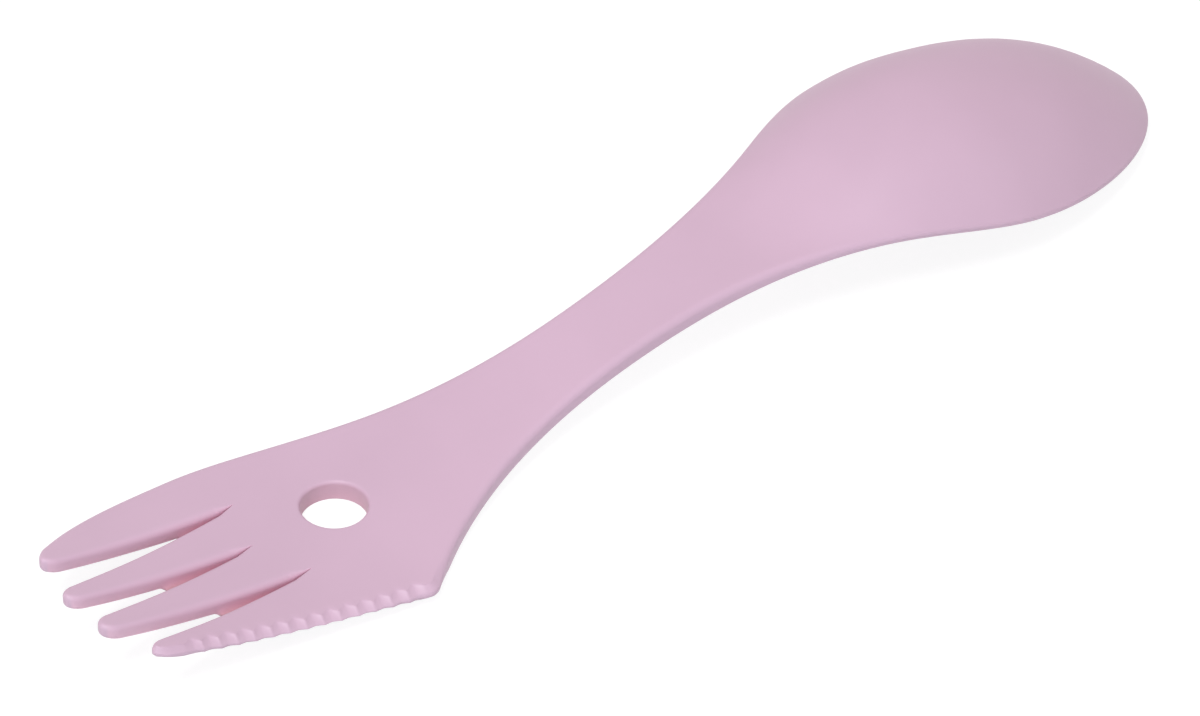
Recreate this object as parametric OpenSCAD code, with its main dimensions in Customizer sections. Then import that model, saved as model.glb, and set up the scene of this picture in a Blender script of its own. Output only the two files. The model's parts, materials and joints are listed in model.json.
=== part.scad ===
// A moulded camping spork, lying as it does on a table: at one end a spoon bowl turned over,
// at the other a four-tined fork with one serrated side, and a flat waisted handle between them.
// X runs from the fork to the spoon, Y to the fork's plain side, and Z up.
// The origin is on the hang hole's axis, on the underside of the fork's palm.
// The real spork is one moulding. Its regions are separate solids here, which meet face to face.

/* [Reach] */
// From the hang hole to the tips of the two inner tines
fork_reach = 39; // [34:0.5:48]
// From the hang hole to the tip of the spoon
spoon_reach = 131; // [122:1:145]

/* [Thickness] */
// Thickness of the fork's palm and of the handle
plate_t = 2.8; // [2.4:0.1:3.4]
// Thickness at the tips of the tines
tine_tip_t = 2.1; // [1.9:0.1:2.4]
// Thickness of the spoon's rim
rim_t = 1.4; // [1.2:0.1:1.8]
// Wall of the bowl at its crown
bowl_wall = 1.5; // [1.3:0.1:2.2]
// Radius of the moulded edges
edge_r = 0.9; // [0.5:0.1:0.9]

/* [Spoon bowl] */
// Full width of the bowl
bowl_w = 37.2; // [32:0.2:42]
// From the bowl's widest place to its tip
nose_l = 31.5; // [27:0.5:36]
// Height of the bowl's dome above its rim
dome_h = 9.6; // [7:0.2:11]
// Width of the rim round the hollow
rim_w = 1.4; // [1.2:0.1:2]

/* [Handle] */
// Width of the handle at its waist
waist_w = 11.9; // [10:0.1:15]
// From the hang hole to the waist
waist_x = 42; // [38:0.5:50]
// From the hang hole to the crest of the handle's arch
crest_x = 78.5; // [74:0.5:84]
// Rise of the handle's arch above the palm
crest_h = 7.9; // [6:0.1:10]

/* [Fork] */
// From the centre line to the fork's plain side
plain_reach = 16.2; // [15:0.2:18]
// From the centre line to the heel, where the serrated edge ends
heel_reach = 19.5; // [18.5:0.1:21]
// How far the heel lies behind the hang hole, towards the tines
heel_back = 0.5; // [0:0.1:2]
// Radius of the heel, seen from above
heel_r = 2.4; // [1.5:0.1:3]
// Rise of the tines' tips above the palm
tine_rise = 5.8; // [3:0.2:8]
// Opening of the slot beside the plain outer tine, at the tips
plain_slot_w = 5.2; // [3.6:0.1:5.4]
// Opening of the middle slot at the tips
middle_slot_w = 4.1; // [3:0.1:4.4]
// Opening of the slot beside the serrated outer tine, at the tips
serrated_slot_w = 4.4; // [3.6:0.1:4.8]
// From the hang hole to the root of the middle slot
middle_root = 12.6; // [11:0.2:16]
// From the hang hole to the roots of the outer slots
outer_root = 9.6; // [8.4:0.2:10.8]
// How far the outer tines stop short of the inner ones
outer_tine_short = 2.3; // [1:0.1:4]
// Length of a tine's rounded nose, seen from above
tine_nose = 2; // [1.5:0.1:2.5]

/* [Serrated edge] */
// Number of teeth
teeth = 14; // [10:1:16]
// Depth of the hollows between the teeth
tooth_depth = 0.4; // [0.3:0.05:0.7]
// Width of the bevel that thins the edge
edge_bevel = 1.1; // [0.8:0.1:1.4]
// Height of the cutting edge's own face
edge_land = 0.5; // [0.4:0.05:0.8]

/* [Hang hole] */
// Diameter of the hang hole
hole_d = 8.3; // [6:0.1:9]

/* [Hidden] */
$fn = 64;
pink = [0.84, 0.71, 0.80];

// How far the cuts run past what they cut
overrun = 1;

// Strip of the fork that the serrated edge takes: its width, and its distance from heel and tip
strip_w = 2.4;
strip_from_heel = 1.25;
strip_from_tip = 5.3;
strip_end_x = -heel_back - strip_from_heel;
strip_start_x = outer_tine_short + strip_from_tip - fork_reach;

// Plan: places along the spork, and half widths there, as shares of the sizes between them
bowl_x = spoon_reach - nose_l;
shoulder_shares = [0.607, 0.482];
shoulder_slope = 0.4;
plain_shoulder_share = 0.35;
plain_neck_shares = [0.5, 0.37];
plain_neck_slope_share = 1.5;
plain_tip_shares = [0.865, 0.81];
plain_tip_slope = 0.41;
heel_slope = 0.77;
serration_shares = [0.81, 0.637];

shoulder = [
    waist_x + shoulder_shares[0] * (bowl_x - waist_x),
    (waist_w + shoulder_shares[1] * (bowl_w - waist_w)) / 2,
    shoulder_slope
];
spoon_stations = [[waist_x, waist_w / 2, 0], shoulder, [bowl_x, bowl_w / 2, 0]];

plain_x = -plain_shoulder_share * fork_reach;
plain_fall = plain_reach - waist_w / 2;
plain_neck = [
    plain_x + plain_neck_shares[0] * (waist_x - plain_x),
    waist_w / 2 + plain_neck_shares[1] * plain_fall,
    -plain_neck_slope_share * plain_fall / (waist_x - plain_x)
];
plain_tip = [-plain_tip_shares[0] * fork_reach, plain_tip_shares[1] * plain_reach, plain_tip_slope];
plain_stations = concat([plain_tip, [plain_x, plain_reach, 0], plain_neck], spoon_stations);

heel_turn = atan(heel_slope);
heel_end = [heel_r * sin(heel_turn) - heel_back, heel_reach - heel_r * (1 - cos(heel_turn)), -heel_slope];
heel_stations = concat([heel_end], spoon_stations);
serration_slope = (1 - serration_shares[1]) * heel_reach / (serration_shares[0] * fork_reach - heel_back);

// Side view: height of the top face's edges, as shares of the sizes between the stations
arch_foot_shares = [0.505, 0.543];
arch_foot_slope = 0.16;
arch_flank_shares = [0.487, 0.5];
arch_tip_slope = 0.21;
lift_power = 1.85;
arch_stations = [
    [0, plate_t, 0],
    [arch_foot_shares[0] * crest_x, plate_t + arch_foot_shares[1] * crest_h, arch_foot_slope],
    [crest_x, plate_t + crest_h, 0],
    [
        crest_x + arch_flank_shares[0] * (spoon_reach - crest_x),
        rim_t + arch_flank_shares[1] * (plate_t + crest_h - rim_t),
        -arch_tip_slope
    ],
    [spoon_reach, rim_t, -arch_tip_slope]
];

// Dome of the bowl: where it starts and where it is highest, and how it curves
throat_share = 0.384;
dome_top_share = 0.457;
dome_front_power = 2.25;
dome_across_power = 2.5;
throat_x = waist_x + throat_share * (bowl_x - waist_x);
dome_top_x = crest_x + dome_top_share * (spoon_reach - crest_x);

// Where the handle leaves the palm
palm_end_share = 0.57;
palm_end_x = palm_end_share * waist_x;

// Slots from the plain side on: their roots, as shares of the fork's reach on their side, and how far
// their centre lines have moved across at the tips, as shares of their openings
slot_root_shares = [0.469, 0, 0.39];
slot_lean_shares = [-0.1, -0.04, 0.07];

// A moulded edge is at most this share of half the thickness, and at least this share of its radius
edge_fill_share = 0.98;
edge_least_share = 0.05;

// Counts of points and of sections
edge_points = 3;
flat_points = 2;
dome_points = 19;
bowl_back_sections = 18;
bowl_front_sections = 16;
handle_sections = 16;
palm_sections = 8;
heel_sections = 5;
tine_sections = 12;
nose_sections = 6;
tooth_sections = 8;

// Stations are [place, value, slope], joined by cubic arcs

function cubic(x, a, b) =
    let (h = b[0] - a[0], t = (x - a[0]) / h)
    a[1] * (2 * t^3 - 3 * t^2 + 1) + a[2] * h * (t^3 - 2 * t^2 + t)
    + b[1] * (3 * t^2 - 2 * t^3) + b[2] * h * (t^3 - t^2);

function chain(x, stations, i = 0) =
    i + 2 >= len(stations) || x <= stations[i + 1][0]
    ? cubic(x, stations[i], stations[i + 1])
    : chain(x, stations, i + 1);

function steps(a, b, n) = [for (i = [0 : n]) a + (b - a) * i / n];

function steps_after(a, b, n) = [for (i = [1 : n]) a + (b - a) * i / n];

function reversed(list) = [for (i = [len(list) - 1 : -1 : 0]) list[i]];

// Outlines, seen from above: half widths on the plain side and on the heel's side

function nose_half(x, half, length) = half * sqrt(max(0, 1 - pow((x - bowl_x) / length, 2)));

function spoon_half(x, inset = 0) =
    x > bowl_x ? nose_half(x, bowl_w / 2 - inset, nose_l - inset) : chain(x, spoon_stations) - inset;

function plain_y(x) =
    x > waist_x ? spoon_half(x)
    : x > plain_tip[0] ? chain(x, plain_stations)
    : plain_tip[1] + plain_tip_slope * (x - plain_tip[0]);

function serration_y(x) = heel_reach + serration_slope * (x + heel_back);

function heel_y(x) =
    x > waist_x ? spoon_half(x)
    : x > heel_end[0] ? chain(x, heel_stations)
    : x > -heel_back ? heel_reach - heel_r + sqrt(heel_r^2 - (x + heel_back)^2)
    : serration_y(x);

// Side view: height of the top face's edges, and the thickness below them

function edge_z(x) =
    x > 0 ? chain(x, arch_stations) : plate_t + tine_rise * pow(-x / fork_reach, lift_power);

function thickness(x) =
    x < -outer_root ? plate_t + (tine_tip_t - plate_t) * (-x - outer_root) / (fork_reach - outer_root)
    : x < waist_x ? plate_t
    : x < bowl_x ? chain(x, [[waist_x, plate_t, 0], [bowl_x, rim_t, 0]])
    : rim_t;

// Dome of the bowl: its height along the spork, for a height and a front end, and its share across

function dome(x, height, front) =
    x < dome_top_x
    ? height * chain(x, [[throat_x, 0, 0], [dome_top_x, 1, 0]])
    : height * (1 - pow(min(1, (x - dome_top_x) / (front - dome_top_x)), dome_front_power));

function across(u) = 1 - pow(abs(u), dome_across_power);

// One side of a section's face: a rounded edge, from its steep end to the flat of the face.
// side is 1 for high Y, face is 1 for the top, and full is the angle at which the edge ends.

function lip(x, y, z, r, side, face, full = 90) = [
    for (i = [1 : edge_points])
        let (a = full * (2 * i - 1) / (2 * edge_points - 1))
        [x, y + side * r * (cos(a) - 1), z + face * r * (sin(a) - 1)]
];

function flat_face(x, low, high, z, r_low, r_high, face) = concat(
    lip(x, low, z, r_low, -1, face),
    [for (i = [1 : flat_points])
        [x, low + r_low + (high - low - r_low - r_high) * i / (flat_points + 1), z]],
    reversed(lip(x, high, z, r_high, 1, face))
);

// A flat bar's section. shave thins it evenly from both faces.

function bar_ring(x, low, high, r_low = edge_r, r_high = edge_r, shave = 0) =
    let (z = edge_z(x) - shave, t = thickness(x) - 2 * shave)
    let (most = edge_fill_share * min(t, high - low) / 2)
    let (r1 = min(r_low, most), r2 = min(r_high, most))
    concat(flat_face(x, low, high, z, r1, r2, 1), reversed(flat_face(x, low, high, z - t, r1, r2, -1)));

// The bowl's section: a dome on the rim's rounded edge, with the hollow under it

function bowl_ring(x) =
    let (z = edge_z(x), t = thickness(x), w = spoon_half(x), h = dome(x, dome_h, spoon_reach))
    let (r = min(edge_r, edge_fill_share * min(t / 2, w)))
    let (full = 90 - atan(dome_across_power * h / w))
    let (foot_w = w + r * (cos(full) - 1), foot_z = z + r * (sin(full) - 1))
    let (deep = dome(x, dome_h + rim_t - bowl_wall, spoon_reach - rim_w))
    let (inner_w = max(spoon_half(x, rim_w), w / 2), n = dome_points)
    concat(
        lip(x, -w, z, r, -1, 1, full),
        [for (i = [1 : n]) let (u = -cos(180 * i / (n + 1)))
            [x, foot_w * u, foot_z + (z + h - foot_z) * across(u)]],
        reversed(lip(x, w, z, r, 1, 1, full)),
        lip(x, w, z - t, r, 1, -1),
        [for (i = [0 : n - 1]) let (u = cos(180 * i / (n - 1)))
            [x, inner_w * u, z - t + deep * across(u)]],
        reversed(lip(x, -w, z - t, r, -1, -1))
    );

// A solid through sections of equally many points, which go along the top and back along the bottom

module loft(rings) {
    n = len(rings[0]);
    last = len(rings) - 1;
    function cap(start, turn) = [
        for (i = [0 : n / 2 - 2])
            let (quad = [i, i + 1, n - 2 - i, n - 1 - i])
            let (q = turn ? reversed(quad) : quad)
            each [[start + q[0], start + q[1], start + q[2]], [start + q[0], start + q[2], start + q[3]]]
    ];
    polyhedron(
        points = [for (ring = rings, p = ring) p],
        faces = concat(
            cap(0, true),
            [for (k = [0 : last - 1], i = [0 : n - 1])
                let (a = k * n + i, b = k * n + (i + 1) % n)
                each [[a, b, b + n], [a, b + n, a + n]]],
            cap(last * n, false)
        ),
        convexity = 6
    );
}

// Spoon bowl: an egg-shaped dome with an even wall, open underneath

module spoon_bowl() {
    back = steps(throat_x, bowl_x, bowl_back_sections);
    front = [for (i = [1 : bowl_front_sections - 1]) bowl_x + nose_l * sin(90 * i / bowl_front_sections)];
    color(pink) loft([for (x = concat(back, front)) bowl_ring(x)]);
}

// Handle: a flat bar that arches up from the palm, is narrowest at its waist and thins to the bowl

module handle() {
    color(pink)
    loft([for (x = steps(palm_end_x, throat_x, handle_sections)) bar_ring(x, -heel_y(x), plain_y(x))]);
}

// The strip that the serrated edge takes out of the fork, seen from above

module strip_zone() {
    start_y = strip_w - serration_y(strip_start_x);
    end_y = strip_w - serration_y(strip_end_x);
    far_y = -heel_reach - overrun;
    translate([0, 0, -overrun])
    linear_extrude(plate_t + tine_rise + 2 * overrun)
    polygon([[strip_start_x, start_y], [strip_start_x, far_y], [strip_end_x, far_y], [strip_end_x, end_y]]);
}

// Fork's palm, with the heel and the hang hole

module fork_palm() {
    places = concat(
        steps(-outer_root, strip_end_x, palm_sections),
        steps(-heel_back, heel_end[0], heel_sections),
        steps_after(heel_end[0], palm_end_x, palm_sections)
    );
    color(pink)
    difference() {
        loft([for (x = places) bar_ring(x, -heel_y(x), plain_y(x))]);
        strip_zone();
        translate([0, 0, -overrun]) cylinder(d = hole_d, h = plate_t + 2 * overrun);
    }
}

// Slots taper to sharp roots. place is 1 for the plain side's slot, 0 for the middle one, -1 for the last.

slot_widths = [plain_slot_w, middle_slot_w, serrated_slot_w];
slot_reaches = [plain_reach, 0, -heel_reach];

function slot_run(x, place) =
    let (root = place == 0 ? middle_root : outer_root) max(0, -x - root) / (fork_reach - root);

function slot_half(x, place) = slot_widths[1 - place] / 2 * slot_run(x, place);

function slot_y(x, place) =
    let (i = 1 - place)
    slot_root_shares[i] * slot_reaches[i] + slot_lean_shares[i] * slot_widths[i] * slot_run(x, place);

function slot_r(x, place) = max(edge_least_share * edge_r, min(edge_r, slot_half(x, place)));

// A tine lies between two edges, and its section shrinks at the nose. i runs from 0 on the plain side.

function tine_ring(x, i, tip) =
    let (high = i == 0 ? plain_y(x) : slot_y(x, 2 - i) - slot_half(x, 2 - i))
    let (low = i == 3 ? -heel_y(x) : slot_y(x, 1 - i) + slot_half(x, 1 - i))
    let (r_high = i == 0 ? edge_r : slot_r(x, 2 - i), r_low = i == 3 ? edge_r : slot_r(x, 1 - i))
    let (round_plan = min(1, (x - tip) / tine_nose), round_face = min(1, (x - tip) / edge_r))
    let (half = (high - low) / 2 * sqrt(1 - pow(1 - round_plan, 2)))
    let (shave = edge_r * (1 - sqrt(1 - pow(1 - round_face, 2))))
    bar_ring(x, (high + low) / 2 - half, (high + low) / 2 + half, r_low, r_high, shave);

module tine(i) {
    tip = i == 0 || i == 3 ? outer_tine_short - fork_reach : -fork_reach;
    places = concat(
        [for (k = [1 : nose_sections]) tip + tine_nose * (1 - cos(90 * k / nose_sections))],
        steps_after(tip + tine_nose, -outer_root, tine_sections)
    );
    loft([for (x = places) tine_ring(x, i, tip)]);
}

// Tines on the plain side, the outer one and the inner one

module plain_outer_tine() { color(pink) tine(0); }

module plain_inner_tine() { color(pink) tine(1); }

// Tines on the serrated side. The outer one gives up its side to the serrated edge.

module serrated_inner_tine() { color(pink) tine(2); }

module serrated_outer_tine() {
    color(pink)
    difference() {
        tine(3);
        strip_zone();
    }
}

// Serrated edge: a strip bevelled on both faces, with scalloped hollows between pointed teeth

module serrated_edge() {
    hollow_top_share = 0.25;
    tooth_spaces = teeth - 1 / 2;
    color(pink)
    loft([for (k = [0 : tooth_spaces * tooth_sections])
        let (x = strip_start_x + (strip_end_x - strip_start_x) * k / (tooth_spaces * tooth_sections))
        let (y = -serration_y(x), z = edge_z(x), t = thickness(x))
        let (hollow = tooth_depth * abs(cos(180 * k / tooth_sections)))
        let (bevel_y = y + edge_bevel + hollow_top_share * hollow)
        let (land_low = z - (t + edge_land) / 2, land_high = z - (t - edge_land) / 2)
        [
            [x, y + hollow, land_high],
            [x, bevel_y, z],
            [x, y + strip_w, z],
            [x, y + strip_w, z - t],
            [x, bevel_y, z - t],
            [x, y + hollow, land_low]
        ]
    ]);
}

spoon_bowl();
handle();
fork_palm();
plain_outer_tine();
plain_inner_tine();
serrated_inner_tine();
serrated_outer_tine();
serrated_edge();
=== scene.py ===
"""A moulded camping spork, dressed around its fixed frame.

The whole moulding has one skin, worked out as rows along the spork and columns across it. Each region
of the frame is modelled from its own share of the rows and columns, so neighbours meet on the same
points and nothing shows where they join. Tines and slots are counted from the toothed side.
"""

import json
import math

import bmesh
import bpy
import numpy as np
from mathutils import Matrix, Vector

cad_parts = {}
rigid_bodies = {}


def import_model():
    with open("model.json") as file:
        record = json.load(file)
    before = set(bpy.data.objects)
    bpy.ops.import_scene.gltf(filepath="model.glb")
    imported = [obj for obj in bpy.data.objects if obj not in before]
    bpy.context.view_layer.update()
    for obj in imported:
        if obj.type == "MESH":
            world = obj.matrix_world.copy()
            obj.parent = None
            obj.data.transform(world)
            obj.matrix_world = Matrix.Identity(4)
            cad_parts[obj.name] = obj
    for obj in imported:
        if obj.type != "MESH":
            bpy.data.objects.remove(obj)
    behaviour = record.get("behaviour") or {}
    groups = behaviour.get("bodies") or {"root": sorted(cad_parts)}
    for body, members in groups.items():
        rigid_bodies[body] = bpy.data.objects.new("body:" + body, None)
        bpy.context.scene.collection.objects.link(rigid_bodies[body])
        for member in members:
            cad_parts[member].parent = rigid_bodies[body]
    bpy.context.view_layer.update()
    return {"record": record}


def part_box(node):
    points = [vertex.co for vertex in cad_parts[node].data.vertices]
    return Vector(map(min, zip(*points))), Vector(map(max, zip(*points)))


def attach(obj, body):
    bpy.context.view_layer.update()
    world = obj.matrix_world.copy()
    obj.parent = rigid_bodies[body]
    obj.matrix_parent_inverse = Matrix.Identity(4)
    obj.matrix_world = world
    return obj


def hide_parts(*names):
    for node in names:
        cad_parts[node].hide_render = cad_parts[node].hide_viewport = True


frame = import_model()

bl_info = {
    "name": "Camping Spork",
    "version": (1, 0, 0),
    "blender": (4, 5, 0),
    "location": "View3D > Sidebar > Spork",
    "description": "Models a moulded camping spork with a domed bowl, a serrated fork and a hang hole",
    "category": "Add Mesh",
}

# The skin is worked out in millimetres and placed in metres
MM = 0.001

# Planes where the frame's regions meet, and the hang hole's width
ROOT_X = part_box("fork_palm")[0][0] / MM
PALM_END_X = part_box("fork_palm")[1][0] / MM
THROAT_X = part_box("handle")[1][0] / MM
STRIP_START_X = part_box("serrated_edge")[0][0] / MM
STRIP_END_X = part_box("serrated_edge")[1][0] / MM
HOLE_D = 2 * frame["record"]["mounts"][0]["dims"]["r_mm"]

# Cells across each tine, with a one-cell slot between two tines
TINES = 4
TINE_CELLS = 8
COLUMNS = TINES * TINE_CELLS + TINES - 1
TOOTHED_TINE = 0
MIDDLE_SLOT = 1
PLAIN_SLOT = 2

# Cells and rings down the wall: a round at the top, a flat, with a ring in its middle, and a round
ROUND_CELLS = 6
FLAT_RING = ROUND_CELLS + 1
LOWER_RING = FLAT_RING + 1
WALL_CELLS = LOWER_RING + ROUND_CELLS
RINGS = np.arange(WALL_CELLS + 1)
FACE_RINGS = (0, WALL_CELLS)

# Cells of the skin that the hang hole takes on each side of the middle
HOLE_CELLS = 4

# Keeps divisions and comparisons clear of rounding
SMALL = 1e-9
CLOSE = 1e-6

# Bends of the outline: their shares of the sizes that they lie between, and their slopes
SHOULDER_ALONG, SHOULDER_OUT, SHOULDER_SLOPE = 0.607, 0.482, 0.4
NECK_ALONG, NECK_OUT, NECK_FALL = 0.5, 0.37, 1.5
WIDEST_ALONG = 0.35
PLAIN_TIP_ALONG, PLAIN_TIP_OUT, PLAIN_TIP_SLOPE = 0.865, 0.81, 0.41
TEETH_ALONG, TEETH_FALL = 0.81, 0.363
HEEL_SLOPE = 0.77

# Bends of the arch, in the same way
FOOT_ALONG, FOOT_UP, FOOT_SLOPE = 0.505, 0.543, 0.16
FLANK_ALONG, FLANK_SLOPE = 0.487, -0.21

# Curves of the tines' rise and of the dome, and how far along the bowl the dome is highest
RISE_POWER = 1.85
DOME_TOP_ALONG = 0.5733
DOME_FRONT_POWER = 2.25
DOME_ACROSS_POWER = 2.5

# Slots: where they start, as shares of the two sides' reach, and how far they lean
SERRATED_SLOT_OUT, PLAIN_SLOT_OUT = 0.39, 0.469
SLOT_LEANS = (0.07, -0.04, -0.1)

# Edges: where they shrink towards the tips, and the most of a thickness and of a slot's half width
TIP_EDGE_FROM, TIP_EDGE_RUN = 0.6, 0.3
TOOTHED_TIP_EDGE = 0.65
MOST_OF_THICKNESS = 0.49
MOST_OF_SLOT = 4

# Distances over which the sides' directions are measured
SIDE_STEP, TOOTHED_SIDE_STEP = 0.12, 0.5

# Cutting edge: its hollows, its two bevels, and where it fades out before the handle
HOLLOW_POWER = 1.4
HOLLOW_FADE = 0.7
BEVEL_SHARE, LOWER_BEVEL_SHARE, NOSE_BEVEL_LOSS = 0.5, 0.75, 0.4
HEEL_BEVEL_LOSS, HEEL_BEVEL_X, HEEL_BEVEL_RUN = 0.7, -4, 3
TEETH_FADE_X, TEETH_FADE_RUN = 5, 4

# Height of the flat between the two bevels: place along the spork, height and slope
LAND_STATIONS = (
    (-36.2, 0.6, 0),
    (-34, 0.6, 0),
    (-31, 0.34, 0),
    (-17, 0.1, 0),
    (-11, 0.1, 0),
    (-1.5, 0.55, 0.06),
)

# Toothed tine's tip: how much thinner it gets, and over what length
TIP_THINNING, TIP_THINNING_RUN = 0.45, 4

# Length over which a web gives way to the open slot
WEB_END = 1.2

# Glow and shade painted into the colour of the walls of the slots and the hang hole: how fast they grow
# down a wall, and their strength at a mouth and in the hole
GLOW_RISE = 1.15
SLOT_MOUTH_GLOW = 0.3
HOLE_GLOW, HOLE_PAINTED_SHADE = 0.4, 0.33

# Handle's columns: where they start to turn into the spoon's, and to crowd towards its rim
NECK_X = 8
CROWD_X, CROWD_RUN = 40, 40
RIM_LEAN_POWER = 3

# How much of the spacing stays even where columns and rows crowd towards a rim
TOP_EVEN, UNDER_EVEN, NOSE_EVEN = 0.45, 0.6, 0.6

# Nearest that the dome's slope is taken to the bowl's tip, where it would be endless
STEEPEST_AT = 0.995

# How far round the hang hole's square of cells the columns and rows bend, in half widths of it
HOLE_BEND = 1.5

# Share of a web over which its faces count as a cut, and the distance between points of one corner
WEB_CLOSED = 0.99
SAME_POINT = 0.0005


def smooth_step(share):
    """Rises from 0 to 1 with level ends."""
    share = np.clip(share, 0, 1)
    return share * share * (3 - 2 * share)


def chain(x, stations):
    """A smooth curve through stations of place, value and slope."""
    place, value, slope = np.array(stations, float).T
    x = np.clip(x, place[0], place[-1])
    first = np.clip(np.searchsorted(place, x, side="right") - 1, 0, len(place) - 2)
    step = place[first + 1] - place[first]
    part = (x - place[first]) / step
    eased = (3 - 2 * part) * part**2
    leaving = (part - 1) ** 2 * part * step * slope[first]
    arriving = (part - 1) * part**2 * step * slope[first + 1]
    return value[first] * (1 - eased) + value[first + 1] * eased + leaving + arriving


def crowd(share, even):
    """Crowds even shares, up to 1 or -1, towards their ends. Even is how much of the spacing stays."""
    return share * even + np.sin(share * math.pi / 2) * (1 - even)


def half_disc(along, across):
    """Lays rows, 0 to 1, and columns, -1 to 1, on half of a disc: places, distance out and turn."""
    row, column = np.meshgrid(along, across, indexing="ij")
    ahead = row * np.sqrt(1 - column**2 / 2)
    aside = column * np.sqrt(1 - row**2 / 2)
    return ahead, aside, np.hypot(ahead, aside), np.arctan2(aside, np.maximum(ahead, SMALL))


def dome_across(share):
    """The dome's height as a share of the middle's. Share is 0 in the middle and 1 at the rim."""
    return 1 - np.abs(share) ** DOME_ACROSS_POWER


def nose_share(ahead, aside):
    """How far a point in the bowl's nose lies towards the rim beside it, from 0 to 1."""
    return np.clip(np.abs(aside) / np.sqrt(np.maximum(1 - ahead**2, SMALL)), 0, 1)


def unit(direction):
    """The same direction with a length of 1."""
    return direction / np.linalg.norm(direction, axis=-1, keepdims=True)


def past_palm(x):
    """Rises from 0 to 1 where the fork's palm narrows into the handle."""
    return smooth_step((x - NECK_X) / (PALM_END_X - NECK_X))


def down_wall():
    """How much glow, and in the hole also shade, is painted on each ring of a slot's or the hole's
    wall, with none on its faces.
    """
    down = RINGS / WALL_CELLS
    return np.where(down < 1, smooth_step(down * GLOW_RISE), 0)


def slot_beside(tine, upper):
    """The slot on one side of a tine, or None where that side is the outline."""
    slot = tine if upper else tine - 1
    return slot if 0 <= slot <= PLAIN_SLOT else None


def columns_of(tine):
    """The columns of a tine's two sides, which run on through the palm and the spoon."""
    first = tine * (TINE_CELLS + 1)
    return first, first + TINE_CELLS


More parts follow.
